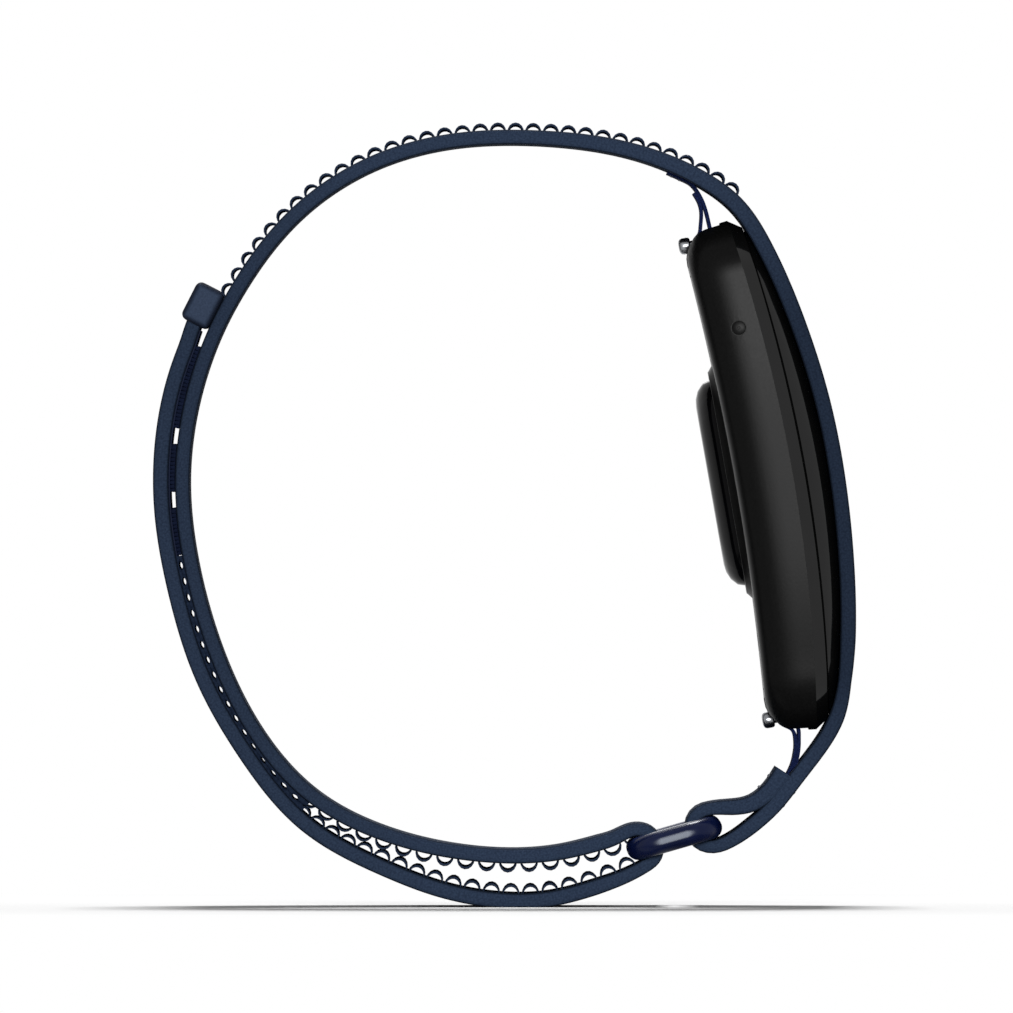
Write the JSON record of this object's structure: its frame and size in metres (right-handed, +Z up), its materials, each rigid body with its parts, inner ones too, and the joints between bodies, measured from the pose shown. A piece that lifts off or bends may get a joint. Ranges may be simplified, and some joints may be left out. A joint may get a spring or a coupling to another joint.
{
  "type": "fitness tracker band",
  "caption": "Woven wrist band with a loop-pile face and a hook-tipped tail, threaded through a metal ring, carrying a screenless sensor pod on quick-release spring bars.",
  "frame": {"origin": "middle of the base, under the closed loop's lowest stretch of strap", "axes": "+Z up through the loop from its lowest stretch of strap, +X towards the sensor pod, +Y across the strap's width"},
  "size_m": [0.0639, 0.0272, 0.0715],
  "materials": {
    "strap_cloth": "woven",
    "loop_pile": "loop pile",
    "hook_tape": "moulded hooks",
    "ribbon_cloth": "woven",
    "cap_plastic": "satin",
    "blue_metal": "gloss",
    "matte_black": "matte",
    "gloss_black": "gloss",
    "window_black": "gloss",
    "bright_steel": "polished",
    "seal_rubber": "matte",
    "board": "satin",
    "cell_foil": "satin",
    "chip_black": "matte",
    "emitter_green": "gloss",
    "copper_film": "satin",
    "gold_plate": "polished"
  },
  "bodies": {
    "band": {"strap": "strap_cloth", "strap_return": "strap_cloth", "pile_top": "loop_pile", "pile_inner": "loop_pile", "pile_outer": "loop_pile", "upper_ribbon": "ribbon_cloth", "lower_ribbon": "ribbon_cloth"},
    "ring": {"ring": "blue_metal", "strap_turn": "strap_cloth"},
    "tail": {"strap_tail": "strap_cloth", "hook_patch_1": "hook_tape", "hook_patch_2": "hook_tape", "hook_patch_3": "hook_tape", "end_cap": "cap_plastic"},
    "pod": {"pod_housing": "matte_black", "cover_gasket": "seal_rubber", "cover_band": "gloss_black", "outer_cover": "gloss_black", "back_cover": "matte_black", "sensor_bezel": "matte_black", "sensor_window": "window_black", "vent_plug": "matte_black", "charge_pad_1": "gold_plate", "charge_pad_2": "gold_plate", "charge_pad_3": "gold_plate", "charge_pad_4": "gold_plate", "main_board": "board", "shield_can": "cell_foil", "battery": "cell_foil", "antenna": "copper_film", "sensor_board": "board", "emitter_1": "emitter_green", "emitter_2": "emitter_green", "emitter_3": "emitter_green", "detector_1": "chip_black", "detector_2": "chip_black", "light_baffle": "chip_black", "sensor_flex": "copper_film", "motor_base": "cell_foil", "motor_case": "cell_foil", "upper_bar_tube": "bright_steel", "lower_bar_tube": "bright_steel", "upper_bar_spring": "bright_steel", "lower_bar_spring": "bright_steel"},
    "upper_pin": {"upper_release_pin": "bright_steel"},
    "lower_pin": {"lower_release_pin": "bright_steel"},
    "rotor": {"motor_rotor": "bright_steel"}
  },
  "joints": [
    {"name": "ring_swivel", "type": "hinge", "parent": "band", "child": "ring", "pos_m": [0.0187, 0, 0.00719], "axis": [0, 1, 0], "range_deg": [-8, 8], "deforming": ["strap_turn"]},
    {"name": "tail_peel", "type": "hinge", "parent": "band", "child": "tail", "pos_m": [-0.03129, 0, 0.03155], "axis": [0, -1, 0], "range_deg": [0, 90]},
    {"name": "pod_tilt", "type": "hinge", "parent": "band", "child": "pod", "pos_m": [0.02574, 0, 0.01728], "axis": [0, -1, 0], "range_deg": [0, 3], "deforming": ["upper_ribbon"]},
    {"name": "upper_pin_slide", "type": "slide", "parent": "pod", "child": "upper_pin", "axis": [0, 1, 0], "range_m": [0, 0.0013], "stiffness_N_per_m": 600, "springref_m": -0.001, "deforming": ["upper_bar_spring"]},
    {"name": "lower_pin_slide", "type": "slide", "parent": "pod", "child": "lower_pin", "axis": [0, 1, 0], "range_m": [0, 0.0013], "stiffness_N_per_m": 600, "springref_m": -0.001, "deforming": ["lower_bar_spring"]},
    {"name": "motor_spin", "type": "hinge", "parent": "pod", "child": "rotor", "pos_m": [0.0273, 0, 0.02568], "axis": [0.9848, 0, 0.1736], "continuous": true}
  ]
}
